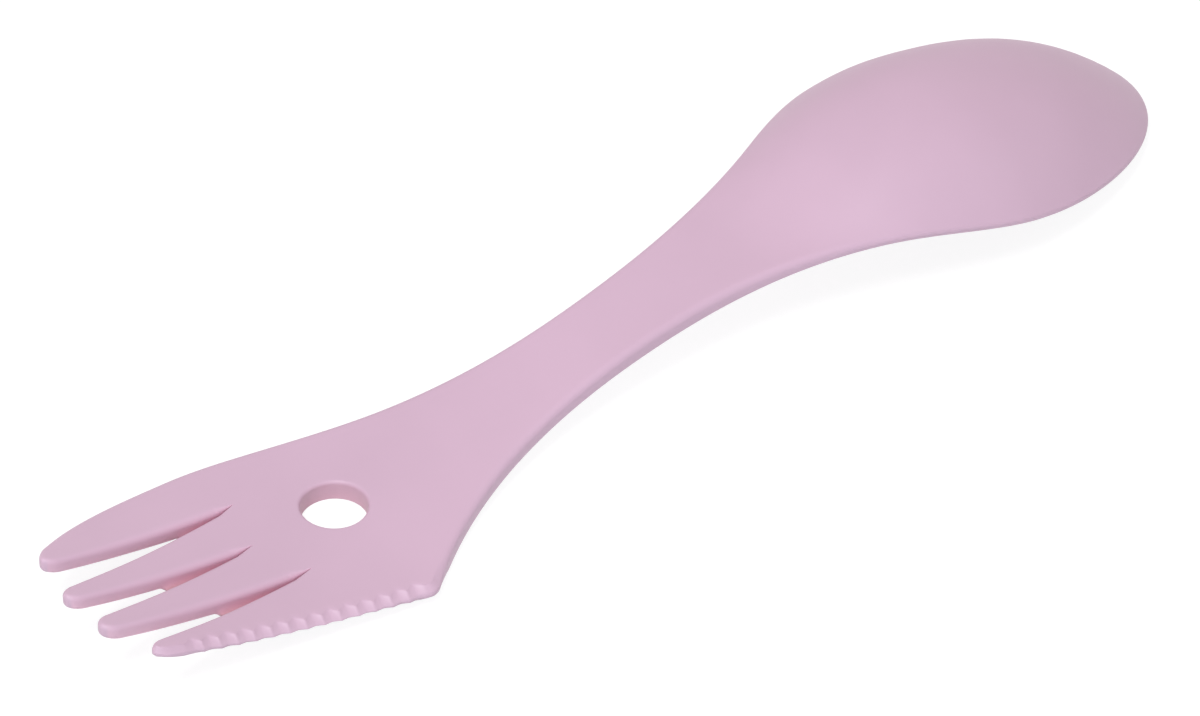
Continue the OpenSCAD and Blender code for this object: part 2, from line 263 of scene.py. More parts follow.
class Skin:
    """The spork's outline, heights and skin in millimetres, from the sizes that a user sets."""

    def __init__(self, size):
        for name in size.__annotations__:
            value = getattr(size, name)
            setattr(self, name, value / MM if isinstance(value, float) else value)
        self.bowl_half = self.bowl_width / 2
        self.bowl_x = self.spoon_reach - self.nose_length
        self.dome_top_x = THROAT_X + DOME_TOP_ALONG * (self.spoon_reach - THROAT_X)
        self.make_outline()
        self.make_arch()
        self.make_rows()
        self.make_skin()

    # Outline

    def make_outline(self):
        """The stations of the outline's curves."""
        waist_half = self.waist_width / 2
        run = self.bowl_x - self.waist_x
        shoulder_x = self.waist_x + SHOULDER_ALONG * run
        shoulder_y = waist_half + SHOULDER_OUT * (self.bowl_half - waist_half)
        self.spoon_stations = [
            [self.waist_x, waist_half, 0],
            [shoulder_x, shoulder_y, SHOULDER_SLOPE],
            [self.bowl_x, self.bowl_half, 0],
        ]
        fall = self.plain_reach - waist_half
        wide_x = -WIDEST_ALONG * self.fork_reach
        neck_run = self.waist_x - wide_x
        tip_x = -PLAIN_TIP_ALONG * self.fork_reach
        neck_x = wide_x + NECK_ALONG * neck_run
        neck_y = waist_half + NECK_OUT * fall
        self.plain_stations = [
            [tip_x, PLAIN_TIP_OUT * self.plain_reach, PLAIN_TIP_SLOPE],
            [wide_x, self.plain_reach, 0],
            [neck_x, neck_y, -NECK_FALL * fall / neck_run],
            *self.spoon_stations,
        ]
        turn = math.atan(HEEL_SLOPE)
        heel_end_x = self.heel_radius * math.sin(turn) - self.heel_back
        heel_end_y = self.heel_reach - self.heel_radius * (1 - math.cos(turn))
        self.heel_stations = [[heel_end_x, heel_end_y, -HEEL_SLOPE], *self.spoon_stations]
        teeth_run = TEETH_ALONG * self.fork_reach - self.heel_back
        self.serration_slope = TEETH_FALL * self.heel_reach / teeth_run

    def make_arch(self):
        """The stations of the arch's curve."""
        crest_z = self.plate_thickness + self.crest_height
        foot_x = FOOT_ALONG * self.crest_x
        foot_z = self.plate_thickness + FOOT_UP * self.crest_height
        flank_x = self.crest_x + FLANK_ALONG * (self.spoon_reach - self.crest_x)
        flank_z = (self.rim_thickness + crest_z) / 2
        self.arch_stations = [
            [0, self.plate_thickness, 0],
            [foot_x, foot_z, FOOT_SLOPE],
            [self.crest_x, crest_z, 0],
            [flank_x, flank_z, FLANK_SLOPE],
            [self.spoon_reach, self.rim_thickness, FLANK_SLOPE],
        ]

    def spoon_half(self, x, inset=0.0):
        """Half the spoon's width, or of a line that keeps inside it."""
        share = (np.maximum(x, self.bowl_x) - self.bowl_x) / (self.nose_length - inset)
        nose = (self.bowl_half - inset) * np.sqrt(np.clip(1 - share**2, 0, 1))
        return np.where(x > self.bowl_x, nose, chain(x, self.spoon_stations) - inset)

    def plain_y(self, x):
        """The outline on the side with no teeth."""
        tip_x, tip_y, tip_slope = self.plain_stations[0]
        tip = tip_y + tip_slope * (x - tip_x)
        body = np.where(x > tip_x, chain(x, self.plain_stations), tip)
        return np.where(x > self.waist_x, self.spoon_half(x), body)

    def heel_y(self, x):
        """The outline on the serrated side, as a distance from the middle."""
        past = x + self.heel_back
        tine = self.heel_reach + self.serration_slope * past
        round_end = np.sqrt(np.clip(self.heel_radius**2 - past**2, 0, None))
        heel = self.heel_reach - self.heel_radius + round_end
        body = np.where(x > self.heel_stations[0][0], chain(x, self.heel_stations), heel)
        body = np.where(past > 0, body, tine)
        return np.where(x > self.waist_x, self.spoon_half(x), body)

    # Heights

    def top_z(self, x):
        """The top face's height along the outline."""
        rise = np.clip(-x / self.fork_reach, 0, None)
        fork = self.plate_thickness + self.tine_rise * rise**RISE_POWER
        return np.where(x > 0, chain(x, self.arch_stations), fork)

    def thickness(self, x):
        """The plate's thickness along the spork."""
        run = np.clip((-x - self.outer_root) / (self.fork_reach - self.outer_root), 0, None)
        tine = self.plate_thickness + (self.tip_thickness - self.plate_thickness) * run
        stations = [[self.waist_x, self.plate_thickness, 0], [self.bowl_x, self.rim_thickness, 0]]
        return np.where(x < 0, tine, chain(x, stations))

    def dome(self, x, height, front):
        """The dome's height over the rim along the bowl's middle."""
        rise = chain(x, [[THROAT_X, 0, 0], [self.dome_top_x, 1, 0]])
        past = np.clip((x - self.dome_top_x) / (front - self.dome_top_x), 0, 1)
        return height * np.where(x < self.dome_top_x, rise, 1 - past**DOME_FRONT_POWER)

    # Rows and columns

    def make_rows(self):
        """Where the rows lie along the spork, close together along the teeth."""
        self.hole_half = self.slot_line(PLAIN_SLOT)[0] * HOLE_CELLS / TINE_CELLS
        full = self.fork_reach - self.tine_nose - self.middle_root
        self.shorter = self.serrated_short, 0, 0, self.outer_short
        self.tine_scale = [(full - shorter) / full for shorter in self.shorter]
        strip_run = STRIP_START_X + self.middle_root
        # Name, place and the cells that lead up to it
        stops = (
            ("nose", self.tine_nose - self.fork_reach, 8),
            ("strip start", -self.middle_root + strip_run / self.tine_scale[TOOTHED_TINE], 6),
            ("middle root", -self.middle_root, 136),
            ("root", ROOT_X, 20),
            ("hole start", -self.hole_half, 38),
            ("strip end", STRIP_END_X, 14),
            ("hole end", self.hole_half, 28),
            ("palm end", PALM_END_X, 32),
            ("throat", THROAT_X, 44),
            ("bowl", self.bowl_x, 44),
            ("tip", self.spoon_reach, 38),
        )
        start = -self.fork_reach
        places = [np.array([start])]
        count = 0
        self.row_of = {}
        for name, end, cells in stops:
            places.append(np.linspace(start, end, cells + 1)[1:])
            start = end
            count += cells
            self.row_of[name] = count
        self.row_x = np.concatenate(places)

    def tine_x(self, tine):
        """The rows' places on one tine. The outer tines are shorter than the inner ones."""
        short = (self.row_x + self.middle_root) * self.tine_scale[tine] - self.middle_root
        return np.where(self.row_x < -self.middle_root, short, self.row_x)

    def slot_line(self, slot):
        """Where a slot starts across the fork, how far it leans, its width and its root."""
        low, high = -SERRATED_SLOT_OUT * self.heel_reach, PLAIN_SLOT_OUT * self.plain_reach
        start = (low, 0.0, high)[slot]
        width = (self.serrated_slot, self.middle_slot, self.plain_slot)[slot]
        root = self.middle_root if slot == MIDDLE_SLOT else self.outer_root
        return start, SLOT_LEANS[slot], width, root

    def slot_at(self, slot, x):
        """A slot's middle and half width. Past its root it is only a line between two columns."""
        start, lean, width, root = self.slot_line(slot)
        run = np.clip((-x - root) / (self.fork_reach - root), 0, None)
        outline = (-self.heel_y(x), 0 * x, self.plain_y(x))[slot]
        ease = past_palm(x)
        return (start + lean * width * run) * (1 - ease) + outline / 2 * ease, width / 2 * run

    def edge_at(self, x, tine):
        """The edges' radius, smaller towards the narrow tips of the tines."""
        from_tip = -x - TIP_EDGE_FROM * self.fork_reach
        near_tip = smooth_step(from_tip / (TIP_EDGE_RUN * self.fork_reach))
        tip_edge = self.tip_edge * (TOOTHED_TIP_EDGE if tine == TOOTHED_TINE else 1)
        radius = self.edge_radius + (tip_edge - self.edge_radius) * near_tip
        return np.minimum(radius, MOST_OF_THICKNESS * self.thickness(x))

    def side_y(self, tine, upper, x):
        """Where one side of a tine lies across the spork."""
        slot = slot_beside(tine, upper)
        if slot is None:
            return self.plain_y(x) if upper else -self.heel_y(x)
        middle, half = self.slot_at(slot, x)
        return middle - half if upper else middle + half

    def side(self, tine, upper, x):
        """One side of a tine or of the palm: its outline, its outward slope and its edge's radius."""
        slot = slot_beside(tine, upper)
        step = TOOTHED_SIDE_STEP if slot is None and not upper else SIDE_STEP
        before, after = self.side_y(tine, upper, x - step), self.side_y(tine, upper, x + step)
        slope = (after - before) / (2 * step)
        out = 1 if upper else -1
        normal = unit(np.stack([-out * slope, out + 0 * x], -1))
        radius = self.edge_at(x, tine)
        if slot is not None:
            radius = np.minimum(radius, MOST_OF_SLOT * self.slot_at(slot, x)[1])
        return np.stack([x, self.side_y(tine, upper, x)], -1), normal, radius

    # Wall

    def round_wall(self, radius, full, under=None):
        """How far each ring of a rounded wall lies inside the outline and from its face."""
        top = 1 - RINGS / ROUND_CELLS
        bottom = (RINGS - LOWER_RING) / ROUND_CELLS
        full = np.asarray(full)[..., None]
        angle = np.where(RINGS <= ROUND_CELLS, top * full, np.clip(bottom, 0, 1) * math.pi / 2)
        radius = np.asarray(radius)[..., None]
        if under is not None:
            radius = np.where(RINGS <= FLAT_RING, radius, under)
        return radius * (1 - np.cos(angle)), radius * (1 - np.sin(angle))

    def cutting_wall(self, x, half, lower_share):
        """The same for the cutting edge, with a bevel over a flat and a wider bevel under it.

        The upper bevel has the hollows between the teeth, which are shallower at its foot.
        """
        down = np.clip(RINGS / ROUND_CELLS, 0, 1)
        under = np.clip((RINGS - LOWER_RING) / ROUND_CELLS, 0, 1)
        phase = np.clip((x - STRIP_START_X) / self.tooth_pitch, -0.5, self.teeth - 0.5)
        away = np.abs(phase - np.round(phase))[..., None] * 2
        depth = self.tooth_depth * (1 - HOLLOW_FADE * down)
        bevel = np.minimum(self.edge_bevel, BEVEL_SHARE * half)[..., None]
        inset = bevel * (1 - down) + depth * (1 - away**HOLLOW_POWER)
        drop = self.bevel_drop * down
        lower = self.under_bevel - HEEL_BEVEL_LOSS * smooth_step((x - HEEL_BEVEL_X) / HEEL_BEVEL_RUN)
        lower = np.minimum(lower, lower_share * half)[..., None]
        land = chain(x, LAND_STATIONS)[..., None]
        height = self.thickness(x)[..., None] - self.bevel_drop - land
        below = RINGS > ROUND_CELLS
        inset = np.where(below, inset * (1 - under) + lower * under, inset)
        drop = np.where(below, height * (1 - under), drop)
        return inset, drop

    def with_teeth(self, inset, drop, share, x, half, lower_share=LOWER_BEVEL_SHARE):
        """Turns a rounded wall into the cutting edge's by a share from 0 to 1."""
        cut_inset, cut_drop = self.cutting_wall(x, half, lower_share)
        return inset + (cut_inset - inset) * share, drop + (cut_drop - drop) * share

    def wall(self, outline, normal, inset, drop):
        """The points of a wall's rings, from the top face to the bottom face."""
        plan = outline[..., None, :] - normal[..., None, :] * inset[..., None]
        top = self.top_z(plan[..., 0])
        bottom = top - self.thickness(plan[..., 0])
        z = np.where(RINGS <= ROUND_CELLS, top - drop, bottom + drop)
        z[..., FLAT_RING] = (z[..., ROUND_CELLS] + z[..., LOWER_RING]) / 2
        return np.concatenate([plan, z[..., None]], -1)

    # Skin

    def make_skin(self):
        """Every point of the skin, by its row, its column and its ring down the wall.

        Edge tells which points lie on a real edge. Glow is the glow, and painted shade the shade,
        painted into the plastic's colour there, and web is how much of a slot's wall is closed by its
        web.
        """
        shape = (self.row_of["tip"] + 1, COLUMNS + 1, WALL_CELLS + 1)
        self.point = np.zeros(shape + (3,))
        self.edge = np.zeros(shape[:2], bool)
        self.glow = np.zeros(shape)
        self.web = np.zeros(shape)
        self.deep = np.zeros(shape)
        for tine in range(TINES):
            self.lay_strip(tine)
            self.lay_tine_nose(tine)
        self.lay_bowl()
        self.lay_hole()
        self.thin_toothed_tip()
        self.lay_cuts()

    def set_face(self, rows, columns, ring, x, y):
        """Places rows and columns of the top or bottom face on the plate."""
        top = self.top_z(x)
        z = top if ring == 0 else top - self.thickness(x)
        self.point[rows, columns, ring] = np.stack([x, y, z], -1)

    def lay_strip(self, tine):
        """Lays the strip that starts as a tine and runs to the bowl's widest row."""
        x = self.tine_x(tine)[: self.row_of["bowl"] + 1]
        lower = self.lay_side(tine, False, x)
        upper = self.lay_side(tine, True, x)
        for step in range(1, TINE_CELLS):
            share = np.full(len(x), step / TINE_CELLS)
            if tine == TOOTHED_TINE:
                share = self.strip_share(x, step, lower[:, 0, 1], upper[:, 0, 1])
            for ring in FACE_RINGS:
                low, high = lower[:, ring], upper[:, ring]
                bend = (low[:, 0] - x) * (1 - share) ** 2 + (high[:, 0] - x) * share**2
                y = low[:, 1] * (1 - share) + high[:, 1] * share
                self.set_face(slice(0, len(x)), columns_of(tine)[0] + step, ring, x + bend, y)

    def lay_side(self, tine, upper, x):
        """Lays one side of a strip, with its edge and what belongs to the slot beside it."""
        outline, normal, radius = self.side(tine, upper, x)
        slot = slot_beside(tine, upper)
        full = np.full(len(x), math.pi / 2)
        if slot is None:
            rise = self.dome(x, self.dome_height, self.spoon_reach)
            full = full - np.arctan(DOME_ACROSS_POWER * rise / self.plain_y(x))
        inset, drop = self.round_wall(radius, full)
        if tine == TOOTHED_TINE and not upper:
            share = smooth_step((TEETH_FADE_X - x) / TEETH_FADE_RUN)[:, None]
            half = (self.side_y(tine, True, x) - outline[:, 1]) / 2
            inset, drop = self.with_teeth(inset, drop, share, x, half)
        rings = self.wall(outline, normal, inset, drop)
        low, high = columns_of(tine)
        column = high if upper else low
        edge_rows = len(x)
        if slot is not None:
            rings, web = self.lay_web(rings, slot, x)
            self.tint_slot(slot, x, column, web)
            edge_rows = 1 + self.row_of["middle root" if slot == MIDDLE_SLOT else "root"]
        self.point[: len(x), column] = rings
        self.edge[:edge_rows, column] = True
        return rings

    def lay_web(self, rings, slot, x):
        """Closes a slot's underside with a thin web, from its root to where it opens right through."""
        reach = (self.serrated_web, self.middle_web, self.plain_web)[slot]
        share = smooth_step((x + reach) / WEB_END + 0.5)[:, None]
        share = share * smooth_step((RINGS - FLAT_RING) / ROUND_CELLS)
        bottom = (self.top_z(x) - self.thickness(x))[:, None]
        floor = bottom + np.where(RINGS < WALL_CELLS, self.web_thickness, 0)
        middle = np.broadcast_to(self.slot_at(slot, x)[0][:, None], floor.shape)
        place = np.stack([np.broadcast_to(x[:, None], floor.shape), middle, floor], -1)
        closed = rings + (place - rings) * share[..., None]
        wall_z = closed[..., :WALL_CELLS, 2]
        closed[..., :WALL_CELLS, 2] = np.maximum(wall_z, wall_z[..., -1:])
        return closed, share

    def tint_slot(self, slot, x, column, web):
        """Notes a slot's web, the glow painted on its wall, strongest in the narrow part of the slot,
        and the shade painted on its web.
        """
        rows = slice(0, len(x))
        half = self.slot_at(slot, x)[1]
        narrow = SLOT_MOUTH_GLOW + (1 - SLOT_MOUTH_GLOW) * (1 - half / self.plain_slot * 2)
        self.glow[rows, column] = down_wall() * (narrow * (half > 0))[:, None]
        self.deep[rows, column] = web * (half > 0)[:, None] * (RINGS < WALL_CELLS)
        self.web[rows, column] = web

    def strip_share(self, x, step, lower_y, upper_y):
        """A column's share across the toothed tine, with the first one where the cutting edge ends."""
        nose_x = x[self.row_of["nose"]]
        near = smooth_step((self.hole_half - x) / (self.hole_half - STRIP_END_X))
        near *= smooth_step((x - nose_x) / (STRIP_START_X - nose_x))
        first = (-self.heel_y(x) + self.strip_width - lower_y) / (upper_y - lower_y)
        first = first * near + (1 - near) / TINE_CELLS
        return first + (1 - first) * (step - 1) / (TINE_CELLS - 1)

    def lay_tine_nose(self, tine):
        """Rounds the end of a tine."""
        cells = self.row_of["nose"]
        start = self.shorter[tine] - self.fork_reach + self.tine_nose
        across = np.linspace(-1, 1, TINE_CELLS + 1)
        _, _, reach, turn = half_disc(1 - np.arange(cells + 1) / cells, across)
        x = start - self.tine_nose * np.cos(turn)
        lower, upper = self.side_y(tine, False, x), self.side_y(tine, True, x)
        half = (upper - lower) / 2
        outline = np.stack([x, (upper + lower) / 2 + half * np.sin(turn)], -1)
        normal = unit(np.stack([-np.cos(turn) / self.tine_nose, np.sin(turn) / half], -1))
        radius = self.edge_at(x, tine)
        inset, drop = self.round_wall(radius, np.full(radius.shape, math.pi / 2))
        if tine == TOOTHED_TINE:
            share = smooth_step(1 - np.sin(turn))[..., None]
            lower_share = LOWER_BEVEL_SHARE - NOSE_BEVEL_LOSS * np.cos(turn)
            inset, drop = self.with_teeth(inset, drop, share, x, half, lower_share)
        rings = self.wall(outline, normal, inset, drop)
        middle = (rings[-1, 0, :, 1] + rings[-1, -1, :, 1]) / 2
        centre = np.stack([np.full(middle.shape, start), middle], -1)
        plan = centre + (rings[..., :2] - centre) * reach[..., None, None]
        low, high = columns_of(tine)
        rows, columns = slice(0, cells + 1), slice(low, high + 1)
        for ring in FACE_RINGS:
            self.set_face(rows, columns, ring, plan[..., ring, 0], plan[..., ring, 1])
        on_edge = reach > 1 - SMALL
        self.point[rows, columns][on_edge] = rings[on_edge]
        self.edge[rows, columns] = on_edge

    def lay_bowl(self):
        """Lays the handle's and the bowl's columns, the dome, the hollow and the rounded tip."""
        strip = np.linspace(0, 1, TINE_CELLS + 1)
        even = np.concatenate([-1 + tine / 2 + strip / 2 for tine in range(TINES)])
        top_share = crowd(even, TOP_EVEN)
        under_share = np.clip(crowd(even / even[-2], UNDER_EVEN), -1, 1)
        self.lay_bowl_top(top_share)
        self.lay_bowl_underside(under_share)
        self.lay_bowl_nose_top(top_share)
        self.lay_bowl_nose_underside(under_share)

    def lay_bowl_top(self, crowded):
        """Lays the top face up to the bowl's widest row. The columns crowd towards the rim."""
        last = self.row_of["bowl"] + 1
        x = self.row_x[:last, None]
        rim_x, rim_y, rim_z = np.moveaxis(self.point[:last, -1:, 0], -1, 0)
        mix = past_palm(x) * smooth_step((x - CROWD_X) / CROWD_RUN)
        old = self.point[:last, :, 0]
        new_x = old[..., 0] * (1 - mix) + (x + (rim_x - x) * np.abs(crowded) ** RIM_LEAN_POWER) * mix
        new_y = old[..., 1] * (1 - mix) + rim_y * crowded * mix
        share = new_y / rim_y
        droop = (self.top_z(rim_x) - rim_z) * (1 - dome_across(share))
        dome = self.dome(new_x, self.dome_height, self.spoon_reach) * dome_across(share)
        new_z = self.top_z(new_x) + dome - droop
        self.point[:last, 1:-1, 0] = np.stack([new_x, new_y, new_z], -1)[:, 1:-1]

    def lay_bowl_underside(self, crowded):
        """Lays the bottom face up to the bowl's widest row, with the hollow under the dome."""
        last = self.row_of["bowl"] + 1
        x = self.row_x[:last, None]
        half = np.maximum(self.spoon_half(x, self.rim_width), self.plain_y(x) / 2)
        mix = past_palm(x)
        old = self.point[:last, :, WALL_CELLS]
        new_x = old[..., 0] * (1 - mix) + x * mix
        new_y = old[..., 1] * (1 - mix) + half * crowded * mix
        self.point[:last, 1:-1, WALL_CELLS] = self.hollow(new_x, new_y, new_y / half)[:, 1:-1]

    def hollow(self, x, y, share):
        """Points of the bowl's underside, from their places and their shares of the way to its rim."""
        depth = self.dome_height + self.rim_thickness - self.bowl_wall
        front = self.spoon_reach - self.rim_width
        across = dome_across(np.clip(share, -1, 1))
        z = self.top_z(x) - self.thickness(x) + self.dome(x, depth, front) * across
        return np.stack([x, y, z], -1)

    def shares_to_tip(self):
        """Rows from the bowl's widest one, 0, to its tip, 1, close together towards the tip."""
        cells = self.row_of["tip"] - self.row_of["bowl"]
        return crowd(np.arange(cells + 1) / cells, NOSE_EVEN)

    def lay_bowl_nose_top(self, crowded):
        """Lays the top face and the edge from the bowl's widest row round to its tip."""
        ahead, aside, reach, turn = half_disc(self.shares_to_tip(), crowded)
        rim_x = self.bowl_x + self.nose_length * np.cos(turn)
        outline = np.stack([rim_x, self.bowl_half * np.sin(turn)], -1)
        out = np.stack([np.cos(turn) / self.nose_length, np.sin(turn) / self.bowl_half], -1)
        steep = np.linalg.norm(out, axis=-1)
        near = np.minimum(np.cos(turn), STEEPEST_AT)
        rise = self.dome(self.bowl_x + self.nose_length * near, self.dome_height, self.spoon_reach)
        full = math.pi / 2 - np.arctan(DOME_ACROSS_POWER * rise * steep / (1 - near**2))
        radius = min(self.edge_radius, MOST_OF_THICKNESS * self.rim_thickness)
        inset, drop = self.round_wall(np.full(full.shape, radius), full)
        rings = self.wall(outline, unit(out), inset, drop)
        centre = np.array([self.bowl_x, 0.0])
        plan = centre + (rings[..., 0, :2] - centre) * reach[..., None]
        tip = plan[-1, COLUMNS // 2, 0]
        dome = self.dome(plan[..., 0], self.dome_height, tip) * dome_across(nose_share(ahead, aside))
        z = self.top_z(plan[..., 0]) + dome - drop[..., 0] * (1 - dome_across(reach))
        rows = slice(self.row_of["bowl"], None)
        self.point[rows, :, 0] = np.concatenate([plan, z[..., None]], -1)
        on_edge = reach > 1 - SMALL
        self.point[rows][on_edge] = rings[on_edge]
        self.edge[rows] = on_edge

    def lay_bowl_nose_underside(self, crowded):
        """Lays the hollow from the bowl's widest row round to its tip."""
        along = self.shares_to_tip()
        ahead, aside, _, _ = half_disc(np.clip(along / along[-2], 0, 1), crowded)
        x = self.bowl_x + (self.nose_length - self.rim_width) * ahead
        y = (self.bowl_half - self.rim_width) * aside
        inside = self.hollow(x, y, nose_share(ahead, aside))
        free = ~self.edge[self.row_of["bowl"] :]
        self.point[self.row_of["bowl"] :, :, WALL_CELLS][free] = inside[free]

    def lay_hole(self):
        """Turns the square of columns and rows round the hang hole into rings."""
        self.hole_rows = self.row_of["hole start"], self.row_of["hole end"]
        low = columns_of(MIDDLE_SLOT)[1] - HOLE_CELLS
        high = columns_of(PLAIN_SLOT)[0] + HOLE_CELLS
        self.hole_columns = low, high
        radius = HOLE_D / 2
        inset, drop = self.round_wall(self.hole_edge, math.pi / 2, self.hole_under)
        for ring in FACE_RINGS:
            plan = self.point[:, :, ring, :2]
            size = np.abs(plan).max(-1) / self.hole_half
            distance = np.maximum(np.linalg.norm(plan, axis=-1), CLOSE)
            near = 1 - smooth_step((size - 1) / HOLE_BEND)
            near = np.where(size < 1 - CLOSE, 0, near)
            scale = 1 + near * ((radius + inset[ring]) * size / distance - 1)
            bent = near > 0
            x, y = (plan[bent] * scale[bent][:, None]).T
            self.set_face(*np.nonzero(bent), ring, x, y)
        first, last = self.hole_rows
        for row in range(first, last + 1):
            for column in range(low, high + 1):
                if row in (first, last) or column in (low, high):
                    toward = unit(self.point[row, column, 0, :2])
                    self.point[row, column] = self.wall(toward * radius, -toward, inset, drop)
                    # Glow and shade painted down the hole's wall
                    self.glow[row, column] = HOLE_GLOW * down_wall()
                    self.deep[row, column] = HOLE_PAINTED_SHADE * down_wall()
                    self.edge[row, column] = True

    def thin_toothed_tip(self):
        """Thins the toothed tine towards its tip, below the foot of the upper bevel."""
        tine = self.point[:, : TINE_CELLS + 1]
        thinner = TIP_THINNING * smooth_step((STRIP_START_X - tine[..., 0]) / TIP_THINNING_RUN)
        bevel_foot = self.top_z(tine[..., 0]) - self.bevel_drop
        tine[..., 2] += np.maximum(bevel_foot - tine[..., 2], 0) * thinner

    def lay_cuts(self):
        """Fills in the rings of every point that isn't on a real edge, for the cuts between regions."""
        share = (RINGS / WALL_CELLS)[:, None]
        inside = ~self.edge
        top = self.point[inside][:, :1]
        bottom = self.point[inside][:, -1:]
        self.point[inside] = top * (1 - share) + bottom * share

    # Cells that regions leave out

    def in_strip(self, row, column):
        """Whether a cell lies in the cutting edge's strip."""
        return column < 1 and self.row_of["strip start"] < row < self.row_of["strip end"]

    def in_strip_or_hole(self, row, column):
        """Whether a cell lies in the cutting edge's strip or in the hang hole."""
        first, last = self.hole_rows
        low, high = self.hole_columns
        in_hole = first < row < last and low < column < high
        return in_hole or self.in_strip(row, column)


# Sizes and finish that a user sets


def length(name, description, value):
    """A length in the user's units."""
    return bpy.props.FloatProperty(
        name=name, description=description, default=value, min=0.0, precision=5, unit="LENGTH"
    )


def colour(name, description, value):
    """A colour that the user picks."""
    return bpy.props.FloatVectorProperty(
        name=name, description=description, default=value, min=0.0, max=1.0, size=3, subtype="COLOR"
    )


class SporkSizes(bpy.types.PropertyGroup):
    """Sizes of the moulding."""

    fork_reach: length("Fork reach", "From the hang hole to the tips of the inner tines", 0.039)
    spoon_reach: length("Spoon reach", "From the hang hole to the bowl's tip", 0.131)
    plate_thickness: length("Plate", "Thickness of the palm and the handle", 0.0028)
    tip_thickness: length("Tine tip", "Thickness at the tips of the tines", 0.0021)
    rim_thickness: length("Rim", "Thickness of the bowl's rim", 0.0014)
    rim_width: length("Rim width", "Width of the flat under the bowl's rim", 0.0014)
    bowl_wall: length("Bowl wall", "Thickness of the dome", 0.0015)
    bowl_width: length("Bowl width", "Widest place of the spoon", 0.0372)
    nose_length: length("Bowl nose", "From the bowl's widest place to its tip", 0.0315)
    dome_height: length("Dome", "Height of the dome over the rim", 0.0096)
    waist_width: length("Waist width", "Narrowest place of the handle", 0.0119)
    waist_x: length("Waist place", "From the hang hole to the narrowest place", 0.042)
    crest_x: length("Crest place", "From the hang hole to the top of the arch", 0.0785)
    crest_height: length("Crest", "Height of the arch over the palm", 0.0079)
    edge_radius: length("Edge", "Radius of the rounded edges", 0.0009)
    tip_edge: length("Tip edge", "Radius of the edges at the tips of the tines", 0.0007)
    plain_reach: length("Plain side", "From the middle to the widest place of the plain side", 0.0162)
    heel_reach: length("Heel", "From the middle to the heel at the end of the teeth", 0.0195)
    heel_back: length("Heel place", "From the hang hole back to the heel, towards the tines", 0.0005)
    heel_radius: length("Heel radius", "Radius of the heel's corner", 0.0024)
    tine_rise: length("Tine rise", "Height of the tips over the palm", 0.0058)
    plain_slot: length("Plain slot", "Mouth of the slot on the plain side", 0.0052)
    middle_slot: length("Middle slot", "Mouth of the middle slot", 0.0041)
    serrated_slot: length("Serrated slot", "Mouth of the slot on the serrated side", 0.0044)
    serrated_web: length("Serrated web", "From the hang hole to the end of that slot's web", 0.0231)
    middle_web: length("Middle web", "From the hang hole to the end of that slot's web", 0.0256)
    plain_web: length("Plain web", "From the hang hole to the end of that slot's web", 0.0174)
    web_thickness: length("Web", "Thickness of the webs under the slots' roots", 0.0003)
    middle_root: length("Middle root", "From the hang hole to the root of the middle slot", 0.0126)
    outer_root: length("Outer root", "From the hang hole to the roots of the outer slots", 0.0096)
    outer_short: length("Outer tine", "How much the plain outer tine is shorter", 0.0023)
    serrated_short: length("Toothed tine", "How much the toothed outer tine is shorter", 0.00275)
    tine_nose: length("Tine nose", "Length of a tine's rounded end", 0.002)
    edge_bevel: length("Bevel", "Width of the cutting edge's bevel", 0.001)
    bevel_drop: length("Bevel drop", "Height of the cutting edge's bevel", 0.00085)
    under_bevel: length("Lower bevel", "Width of the bevel under the cutting edge", 0.0022)
    tooth_pitch: length("Tooth pitch", "From one tooth to the next", 0.00223)
    strip_width: length("Strip", "Width of the cutting edge's strip", 0.0024)
    tooth_depth: length("Tooth depth", "Depth of the hollows between the teeth", 0.0008)
    hole_edge: length("Hole edge", "Radius of the hang hole's upper edge", 0.0005)
    hole_under: length("Hole underside", "Radius of the hang hole's lower edge", 0.00015)
    teeth: bpy.props.IntProperty(
        name="Teeth", description="Teeth along the cutting edge", default=14, min=2
    )


class SporkFinish(bpy.types.PropertyGroup):
    """Colour and finish of the plastic."""

    pink: colour("Pink", "Colour of the plastic", (0.64, 0.425, 0.55))
    # Colour of the glow painted on the walls of the slots and the hang hole
    rose: colour("Rose", "Colour where light comes through the walls", (0.93, 0.51, 0.63))
    # Colour of the shade painted on the slots' webs and down the hang hole's wall
    deep_rose: colour("Deep rose", "Colour of the thin webs under the slots", (0.38, 0.17, 0.15))
    roughness: bpy.props.FloatProperty(
        name="Roughness",
        description="How dull the satin finish is",
        subtype="FACTOR",
        default=0.46,
        min=0.0,
        max=1.0,
    )
    grain_size: length("Grain", "Size of the spark-eroded grain", 0.00016)
    grain_depth: length("Grain depth", "Depth of the grain", 0.0000035)


class SporkStudio(bpy.types.PropertyGroup):
    """Floor, lamps and camera."""

    floor_colour: colour("Floor", "Colour of the floor", (0.82, 0.82, 0.82))
    lamp_strength: bpy.props.FloatProperty(
        name="Lamps", description="Strength of the lamps", default=1.0, min=0.0
    )
    room_strength: bpy.props.FloatProperty(
        name="Room light", description="Strength of the light from all round", default=0.45, min=0.0
    )
    azimuth: bpy.props.FloatProperty(
        name="Azimuth",
        description="Direction the camera looks from, round the spork",
        subtype="ANGLE",
        default=math.radians(40.551),
    )
    elevation: bpy.props.FloatProperty(
        name="Elevation",
        description="The camera's angle above the floor",
        subtype="ANGLE",
        default=math.radians(40.497),
    )
    distance: length("Distance", "From the camera's plane to the hang hole", 1.189)
    lens: bpy.props.FloatProperty(
        name="Lens", description="Focal length on a 36 mm frame", default=292.97, min=1.0
    )


# Modelling


